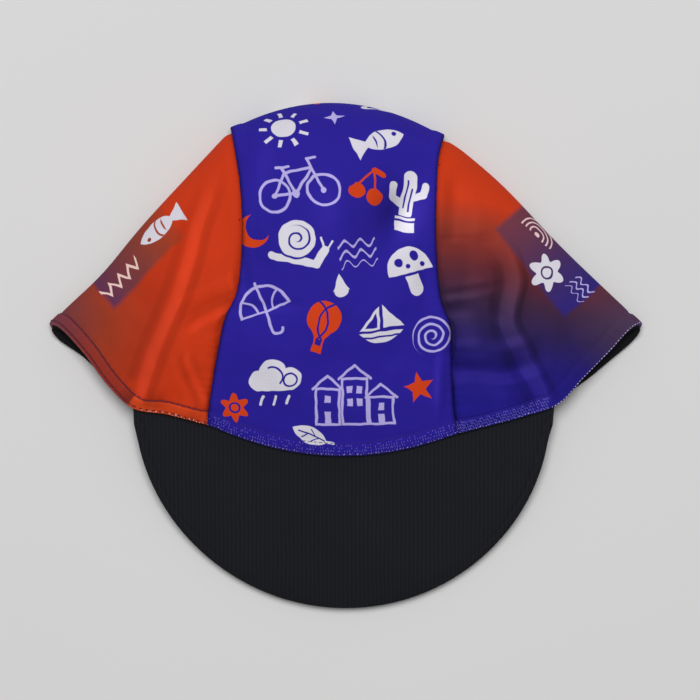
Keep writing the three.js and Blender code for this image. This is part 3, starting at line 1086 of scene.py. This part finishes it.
centre_cloth = Cloth("blue_printed_knit", start=-46, repeat=178)
blotch = centre_cloth.mottle(centre_cloth.plain, 0.03, 2.0)
centre_ground = centre_cloth.mix(blotch, shade(38, 27, 143), shade(46, 32, 160))
centre_edge = shade(120, 108, 196)
centre_piece.data.materials.append(
    printed(centre_cloth, centre_ground, centre_motifs, centre_edge, 1.7)
)

# Left side panel: a D-shaped piece of the same knit, its straight edge at the rim, sewn to the
# centre panel round its curve. It lies folded double from the ear corner to the top corner.
# Its ground runs from orange to purple-brown at the ear, with a darker patch on the fold.
# Gains of the painted light and shade on the folds of the left and right panels.
side_painted_light_gains = (2.3, 3.0)
ear_reach = 62
left_patch_sizes = (21, 15, 2.2, 42)  # half length, half width, soft edge, span
burgundy = shade(78, 20, 36)
left_motifs = [
    (fish, (), -75, 49, 214, 1.15, ink_white),
    (zigzag, (10.4, 2.6, 5.0, 0.95), -91, 30, 42, 1.0, shade(240, 206, 196)),
    (cloud, (), -108, 62, 120, 0.9, ink_white),
    (cherries, (), -126, 40, 200, 1.0, ink_white),
]


def side_panel(k, seed):
    side = (-1, 1)[k]
    panel = Panel()
    panel.grid = between(rim_lines[k], seam_lines[k])
    puff = np.where(shares < 1, np.sin(np.pi * np.clip(shares, 0, 1) ** 0.8), 0)
    panel.grid[..., 2] += side_bulge * puff[:, None] * middle_share
    bow, bow_place, bow_reach = fold_bows[k]
    bulge = bow * bell(across - bow_place, bow_reach)
    bulge = bulge * smooth(1 - across, 0, 0.1) * smooth(across, 0, 0.1)
    near_fold = np.maximum(0, 1 - np.abs(shares - 1) * 1.6)[:, None] * bulge
    panel.grid[..., 0] += side * near_fold * 0.7
    panel.grid[..., 1] += near_fold * 0.7
    x, y = panel.grid[..., 0], panel.grid[..., 1]
    free = upper(shares)[:, None] * smooth(across, 0, 0.12) * smooth(1 - across, 0, 0.1)
    # Painted light and shade on the side panel, from the slopes of its ridges, hollows and folds.
    panel.lean = painted_light_slope(folded, x, y) * free * side_painted_light_gains[k]
    panel.grid[..., 2] += (relief_at(x, y) + folded(x, y)) * free
    panel.map = between(*unfold(rim_lines[k], seam_lines[k], front_rows - 1, side))
    panel.map = panel.map - (0, map_level)
    panel.grid[..., 0] += side * gap * 0.5
    rim, seam = denser(panel.grid[:, 0]), denser(panel.grid[:, -1])
    panel.dress(seed, -side, rim, seam, False)
    return panel


left = side_panel(0, 11.0)
left_piece = panel_object("left_side_panel_cloth", left, False)
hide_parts("left_side_panel")


def patched(ground, spot, half_length, half_width, soft, span, *stops):
    """The ground with a soft-edged patch, whose colour runs along it."""
    along, _ = spot.parts()
    patch = spot.block(0, 0, half_length, half_width).inside(soft)
    return spot.cloth.mix(patch, ground, spot.cloth.ramp(along / span + 0.5, *stops))


left_cloth = Cloth("orange_printed_knit")
from_ear = left_cloth.spot(-123, 14).length()
left_ground = left_cloth.ramp(
    from_ear / ear_reach,
    (0.0, 104, 56, 72),
    (0.16, 122, 58, 58),
    (0.42, 158, 58, 34),
    (0.75, 190, 54, 22),
    (1.0, 206, 57, 20),
)
left_ground = patched(
    left_ground,
    left_cloth.spot(-88, 43, 41),
    *left_patch_sizes,
    (0.0, 96, 48, 84),
    (0.25, 116, 56, 66),
    (0.6, 140, 62, 50),
    (0.85, 164, 62, 38),
    (1.0, 190, 60, 28),
)
# Hem: the panel's ground again, purple-brown at the ear with a dark line further on. Along the
# front it is brighter orange than the panel above it, which is painted light on the turned hem.
hem_ground_and_painted_light = left_cloth.ramp(
    from_ear / ear_reach,
    (0.0, 112, 58, 76),
    (0.2, 126, 54, 58),
    (0.36, 146, 52, 42),
    (0.7, 158, 50, 34),
    (0.79, 132, 42, 28),
    (0.805, 214, 72, 28),
    (1.0, 212, 68, 26),
)
rim_mark = left_cloth.mark("rim")
left_ground = left_cloth.mix((rim_mark - hem_width).inside(0.5), left_ground, hem_ground_and_painted_light)
sewn_line = abs(rim_mark - hem_width).near(0.6)
edge_line = abs(rim_mark - 1.7).near(0.5) * (from_ear - 48).inside(3)
left_ground = left_cloth.mix(sewn_line.most(edge_line) * 0.75, left_ground, burgundy)
left_edge_tint = shade(176, 122, 118)
left_piece.data.materials.append(
    printed(left_cloth, left_ground, left_motifs, left_edge_tint, 2.2)
)

# Right side panel: the same cut the other way round. Its ground runs from orange at the top
# through red-brown and purple to blue at the rim, with a purple to blue patch on the fold.
right_patch_sizes = (23.2, 16, 2.0, 46)
ground_reach = 110

right = side_panel(1, 17.0)
right_piece = panel_object("right_side_panel_cloth", right, True)
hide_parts("right_side_panel")


def arcs(m):
    rings = m.rings(0.95, (0, 0, 10.5), (0, 0, 7.6), (0, 0, 4.7))
    return rings.least(m.disc(0, 0, 1.7)).most(m.side(-90, 1.2))


right_motifs = [
    (flower, (8.2,), 80, 31, 10, 1.0, ink_white),
    (arcs, (), 76, 47, -38, 0.75, shade(238, 206, 206)),
    (waves, (7, 6.0, 1.4, 0.95), 95.2, 25.5, -48, 0.72, ink_lilac),
    (sun, (), 118, 55, 0, 0.9, ink_white),
    (leaf, (), 128, 30, 40, 0.9, ink_white),
]
right_cloth = Cloth("sunset_printed_knit")
u, v = right_cloth.parts(right_cloth.plain)
right_ground = right_cloth.ramp(
    (v + u * 0.12 + 19.2) / ground_reach,
    (0.0, 35, 27, 142),
    (0.16, 34, 25, 122),
    (0.3, 45, 32, 84),
    (0.4, 63, 38, 66),
    (0.52, 101, 40, 46),
    (0.66, 158, 56, 38),
    (0.76, 204, 58, 22),
    (1.0, 206, 58, 17),
)
near_ear = (right_cloth.spot(123, 14).length() - 20).inside(26)
right_ground = right_cloth.mix(near_ear * 0.65, right_ground, shade(80, 62, 92))
right_ground = patched(
    right_ground,
    right_cloth.spot(84.3, 40.8, -47.3),
    *right_patch_sizes,
    (0.0, 118, 58, 72),
    (0.3, 98, 54, 80),
    (0.65, 66, 44, 104),
    (1.0, 46, 36, 124),
)
right_edge_tint = shade(110, 98, 160)
right_piece.data.materials.append(
    printed(right_cloth, right_ground, right_motifs, right_edge_tint, 2.2)
)

# Peak: a rounded flexible plate covered in near-black knit with fine ribs that run from the rim
# to the front edge. Its inner edge is held between the front hem and the sweatband, and its
# stiff front edge stands just clear of the floor.
peak_width = 176.4
peak_reach = 84.9
peak_ends = 10.4
peak_power = 1.93
peak_thickness = 2.6
peak_tuck = 4
peak_camber = 1.4
peak_rise = 2.3
peak_centre = -0.8
hem_clear = 0.15
peak_seam = 3.4
peak_seam_depth = 0.28
peak_sag = 0.35
peak_rib = 1.72
twill_pitch = 0.9
peak_columns = 320
peak_rows = 70

front_rim = np.vstack(
    [
        left.grid[: front_rows - 12, 0][::-1],
        centre.grid[0, 1:-1],
        right.grid[: front_rows - 12, 0],
    ]
)
front_rim = front_rim[np.argsort(front_rim[:, 0])]


def peak_surface():
    """The underside of the peak as a grid, from the rim to the outer edge."""
    share = 0.994 * np.sin(np.linspace(-0.5, 0.5, peak_columns) * math.pi)[:, None]
    edge = np.array([0.0, 0.004, 0.01, 0.018])
    depth = np.linspace(0, 1, peak_rows)
    depth[:4], depth[-4:] = edge, 1 - edge[::-1]
    x = peak_centre + share * peak_width / 2
    rim_y, rim_z = (np.interp(x, front_rim[:, 0], front_rim[:, k]) for k in (1, 2))
    outline = (1 - np.abs(share) ** peak_power) ** (1 / peak_power)
    # The real peak leans a little to the right toward its tip
    lean_left, lean_right = 1.3 - 1.7 * outline, 4.6 * outline - 2.6
    lean = lean_left + (lean_right - lean_left) * smooth(share, -0.35, 0.35)
    x = x + lean * smooth(outline, 0.02, 0.2) * depth
    outer = peak_ends - peak_reach * outline
    inner = np.maximum(rim_y + peak_tuck, outer + peak_tuck)
    held = rim_z - (wall + gap) * 1.12 - peak_thickness - hem_clear
    y = inner + (np.minimum(outer, rim_y) - inner) * depth
    lift = held * np.abs(share) ** 6
    base = held + 0.18 * peak_tuck
    z = base + (lift - base) * depth
    z = z + peak_camber * 6.75 * depth**2 * (1 - depth) * (1 - share**4)
    z = z + peak_rise * depth * (1 - share**6)
    return np.stack([x, y, z], axis=-1)


peak_under = peak_surface()
outline = np.vstack([denser(peak_under[:, -1]), denser(peak_under[:, 0])])
peak_edge, _ = nearest(peak_under, outline)
peak_thin = rounded(peak_edge, peak_thickness * 1.1)[..., None]
lift_up = np.array([0, 0, 1.0])
half_up = lift_up * peak_thickness / 2
seam_dip = -peak_seam_depth * bell(peak_edge - peak_seam, 0.6)[..., None] * lift_up
sag = np.zeros(peak_edge.shape)
for j, i in np.ndindex(*sag.shape):
    x, y, _ = peak_under[j, i]
    sag[j, i] = noise.noise(Vector((x / 30, y / 24, 7.0)))
sag = (peak_sag * sag * smooth(peak_edge, 2, 15))[..., None] * lift_up
peak_outer = peak_under + half_up + half_up * peak_thin + seam_dip * peak_thin + sag
peak_inner = peak_under + half_up - half_up * peak_thin
peak_map = peak_under[..., :2] - (0, map_level)
peak_piece = shell_object("peak_cover", peak_outer, peak_inner, peak_map, False)
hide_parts("peak")

peak_cloth = Cloth("black_ribbed_knit")
u, v = peak_cloth.parts(peak_cloth.plain)
rib = (u + peak_cloth.mottle(peak_cloth.plain, 0.05, 2.0) * 1.2).wave(peak_rib)
twist = (v + u * 0.55).wave(twill_pitch)
speck = peak_cloth.mottle(peak_cloth.plain, 1.6, 4.0)
broad = peak_cloth.mottle(peak_cloth.plain, 0.03, 2.0)
tone = rib * 0.34 + speck * 0.35 + twist * 0.1 + broad * 0.3 + 0.1
peak_colour = peak_cloth.mix(tone, shade(13, 14, 18), shade(31, 32, 38))
height = rib * 0.8 + twist * 0.2 + speck * 0.3
peak_piece.data.materials.append(peak_cloth.finish(peak_colour, 0.78, height, relief=0.0002))

# Sweatband: a soft black band sewn in all round the rim. It lies inside the crown and under the
# peak's inner edge, and shows where the rim gapes at both ear corners.
band_width = 24
band_thickness = 1.0
band_fan = 128
band_lean = 5
band_slack = 2.4
band_show = 0.9
band_lap = 0.5
band_clear = 1.1
band_steps = 26
ring_step = 0.55


def ring(front, right_rim, back, left_rim):
    """Rows of numbers once round the rim, from its left end at the front."""
    return np.vstack([front, right_rim[1:-1], back[::-1], left_rim[1:-1][::-1]])


ring_points, ring_normals = (
    ring(grids[0][0], grids[1][:, 0], grids[0][-1], grids[2][:, 0])
    for grids in (
        (centre.grid, right.grid, left.grid),
        (centre.normals, right.normals, left.normals),
    )
)
keep = [0]
for n in range(1, len(ring_points)):
    if np.linalg.norm(ring_points[n] - ring_points[keep[-1]]) > ring_step:
        keep.append(n)
ring_points = ring_points[keep]
# The mean of the neighbours, so that the band turns softly round the ear corners
ring_normals = unit(sum(np.roll(ring_normals[keep], n, axis=0) for n in range(-4, 5)))
upward = np.tile([0.0, 1.0, 0.0], (len(keep), 1))
upward[:, 0] = -ring_points[:, 0] / band_fan
upward = unit(upward)
upward = unit(upward - ring_normals * np.sum(upward * ring_normals, axis=-1, keepdims=True))
at_front = smooth(ring_points[:, 2], fold_height * 1.02, fold_height * 1.25)[:, None]
step = np.linspace(0, 1, band_steps)[None, :]
lean = (0.15 * band_lean + (0.85 * band_lean + band_slack) * at_front) * step**1.3
under = wall + gap + hem_clear + at_front * (peak_thickness + gap + band_clear) + lean
reach = band_lap * at_front - band_show * (1 - at_front) + step * band_width
band_thin = rounded(np.minimum(step, 1 - step) * band_width, band_thickness)
surface = ring_points[:, None] + upward[:, None] * reach[..., None]
band_sides = []
for face in (-1, 1):
    depth = under + band_thickness / 2 * (1 + face * band_thin)
    band_sides.append(surface - ring_normals[:, None] * depth[..., None])
run = run_of(ring_points)
band_map = np.stack(np.broadcast_arrays((run - run[-1] / 2)[:, None] * 0.6, reach), axis=-1)
band_grids = [np.concatenate([grid, grid[:1]]) for grid in (*band_sides, band_map)]
band_piece = shell_object("sweatband_cloth", *band_grids, True)
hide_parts("sweatband")

band_cloth = Cloth("black_band_cloth")
u, v = band_cloth.parts(band_cloth.plain)
twill = (v + u * 1.67).wave(twill_pitch)
speck = band_cloth.mottle(band_cloth.plain, 1.5, 4.0)
band_colour = band_cloth.mix(twill * 0.5 + speck * 0.5, shade(14, 14, 16), shade(33, 33, 37))
height = twill * 0.7 + speck * 0.4
band_piece.data.materials.append(band_cloth.finish(band_colour, 0.9, height, relief=0.00015))

# Hem stitches: rows of thread round the rim. A dark row holds the top of the turned hem, short
# pale and violet stitches cross the hem where it is overlocked to the peak, and a pale row runs
# along the right ear edge. Each stitch is one short arched length of thread.
edge_run = 0.5
tip_run = 1.5
overlock = [0.7, 1.9, 3.2, 4.5, 5.6]
stitch_arch = 0.9
peak_left = peak_centre - peak_width / 2 + 2.5
peak_right = peak_centre + peak_width / 2 - 2.5


def hem_line(panel, distance):
    """Points and directions on the cloth at one distance from the front rim."""
    grids = [panel.outer, panel.normals, panel.marks["rim"]]
    if panel is centre:
        grids = [np.swapaxes(grid[: front_rows // 2], 0, 1) for grid in grids]
    else:
        grids = [grid[: front_rows + 6] for grid in grids]
    points, facing = [], []
    for surface, normals, rim in zip(*grids):
        if rim.max() < distance:
            continue
        i = max(int(np.argmax(rim >= distance)), 1)
        t = (distance - rim[i - 1]) / max(rim[i] - rim[i - 1], 1e-6)
        points.append(surface[i - 1] * (1 - t) + surface[i] * t)
        facing.append(normals[i])
    return np.array(points), np.array(facing)


def spaced(points, facing, pitch):
    """Places at equal steps along a line, with the cloth's and the line's directions."""
    run = run_of(points)
    s = np.arange(pitch * 0.5, run[-1], pitch)
    ahead = np.minimum(s + 0.4, run[-1])
    behind = np.maximum(s - 0.4, 0)
    along = placed(points, run, ahead) - placed(points, run, behind)
    return placed(points, run, s), unit(placed(facing, run, s)), unit(along)


bpy.ops.object.select_all(action="DESELECT")
bpy.ops.mesh.primitive_uv_sphere_add(segments=6, ring_count=7, rotation=(0, math.pi / 2, 0))
thread = bpy.context.object
bpy.ops.object.transform_apply(location=False, rotation=True, scale=True)
thread_points = np.array([v.co for v in thread.data.vertices])
thread_faces = [list(polygon.vertices) for polygon in thread.data.polygons]
bpy.data.objects.remove(thread)


def stitch_object(name, stitches, radius, material):
    """One piece of many arched stitches, each given by its middle, half reach and facing."""
    points, faces = [], []
    x, y, z = thread_points.T
    arch = stitch_arch * (1 - x**2) - 0.5
    for middle, half, facing in stitches:
        ahead = unit(half)
        aside = unit(np.cross(facing, ahead))
        up = np.cross(ahead, aside)
        start = len(points) * len(thread_points)
        round_line = np.outer(y, aside) + np.outer(z * 0.8 + arch, up)
        points.append(middle + np.outer(x, half) + round_line * radius)
        faces += [[start + v for v in face] for face in thread_faces]
    mesh = bpy.data.meshes.new(name)
    mesh.from_pydata(to_frame(np.vstack(points)).tolist(), [], faces)
    for polygon in mesh.polygons:
        polygon.use_smooth = True
    mesh.materials.append(material)
    piece = bpy.data.objects.new(name, mesh)
    scene.collection.objects.link(piece)
    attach(piece, "root")


def thread_material(name, dark, light):
    """Twisted thread, from a dark to a light shade."""
    recipe = Recipe(name)
    place = recipe.add("ShaderNodeTexCoord", {}, {}, output="Object")
    strand = recipe.mottle(place, 2600.0, 2.0)
    colour = recipe.mix(strand, dark, light)
    return recipe.finish(colour, 0.6, strand, relief=0.00004, specular=0.3, sheen=0.1)


dark_thread = thread_material("burgundy_thread", shade(62, 14, 34), shade(104, 30, 52))
navy_thread = thread_material("navy_thread", shade(26, 18, 84), shade(44, 32, 112))
violet_thread = thread_material("violet_thread", shade(76, 66, 184), shade(140, 130, 220))
pale_thread = thread_material("pale_thread", shade(168, 160, 214), shade(232, 228, 240))
peach_thread = thread_material("peach_thread", shade(226, 130, 92), shade(246, 214, 196))

dice = random.Random(4)


def row_of(lines, pitch, length, jitter):
    """Stitches along one or more lines of cloth."""
    stitches = []
    for line in lines:
        for here, n, ahead in zip(*spaced(*line, pitch)):
            half = ahead * length / 2 * (1 + jitter * (dice.random() - 0.5))
            stitches.append((here, half, n))
    return stitches


def strokes_between(low, high, pitch, lean, jitter, missing):
    """Stitches that cross the hem from a line near the rim to one further in."""
    tree = tree_of(high[0])
    stitches = []
    for here, n, along_hem in zip(*spaced(*low, pitch)):
        if dice.random() < missing:
            continue
        _, found, _ = tree.find(here)
        far = high[0][found] + along_hem * lean
        cut_low = dice.random() * jitter * 0.5
        cut_high = 1 - dice.random() * jitter
        start = here + (far - here) * cut_low
        end = here + (far - here) * cut_high
        stitches.append(((start + end) / 2, (end - start) / 2, n))
    return stitches


def beyond(line, low_x, high_x):
    """The part of a line between two places across the cap."""
    points, facing = line
    inside = (points[:, 0] > low_x) & (points[:, 0] < high_x)
    return points[inside], facing[inside]


left_tip = hem_line(left, tip_run)
stitch_object(
    "hem_stitches_dark",
    row_of([hem_line(left, hem_width)], pitch=2.4, length=2.6, jitter=0.1)
    + row_of([beyond(left_tip, -200, peak_left)], pitch=2.5, length=2.6, jitter=0.1)
    + row_of([beyond(left_tip, peak_left, 0)], pitch=2.7, length=1.6, jitter=0.5),
    radius=0.32,
    material=dark_thread,
)
right_top = beyond(hem_line(right, hem_width), 0, peak_right)
stitch_object(
    "hem_stitches_navy",
    row_of([hem_line(centre, hem_width), right_top], pitch=2.3, length=2.0, jitter=0.2),
    radius=0.17,
    material=navy_thread,
)
violet_rows = []
for panel, lean, jitter, thinning in ((centre, 0.25, 0.45, 0.16), (right, -0.95, 0.12, 0.03)):
    for n, (low_run, high_run) in enumerate(zip(overlock, overlock[1:])):
        low, high = hem_line(panel, low_run), hem_line(panel, high_run)
        if panel is right:
            low, high = beyond(low, 0, peak_right), beyond(high, 0, peak_right + 3)
        violet_rows += strokes_between(low, high, 1.0, lean, jitter, 0.06 + thinning * n)
stitch_object("hem_stitches_violet", violet_rows, radius=0.15, material=violet_thread)
right_edge = hem_line(right, edge_run)
front_edge, front_tip = (
    beyond(line, 0, peak_right) for line in (right_edge, hem_line(right, tip_run))
)
centre_edge_line, centre_tip = hem_line(centre, edge_run), hem_line(centre, tip_run)
stitch_object(
    "hem_stitches_pale",
    strokes_between(centre_edge_line, centre_tip, 1.5, 0.3, 0.9, 0.15)
    + strokes_between(front_edge, front_tip, 1.4, 0.5, 0.9, 0.1)
    + row_of([beyond(right_edge, peak_right, 200)], pitch=1.45, length=0.8, jitter=0.7),
    radius=0.17,
    material=pale_thread,
)
left_edge = beyond(hem_line(left, edge_run), peak_left, 0)
stitch_object(
    "hem_stitches_peach",
    strokes_between(left_edge, left_tip, 1.3, 0.3, 0.9, 0.25)
    + strokes_between(left_edge, hem_line(left, overlock[1]), 2.9, 0.5, 0.7, 0.5),
    radius=0.26,
    material=peach_thread,
)
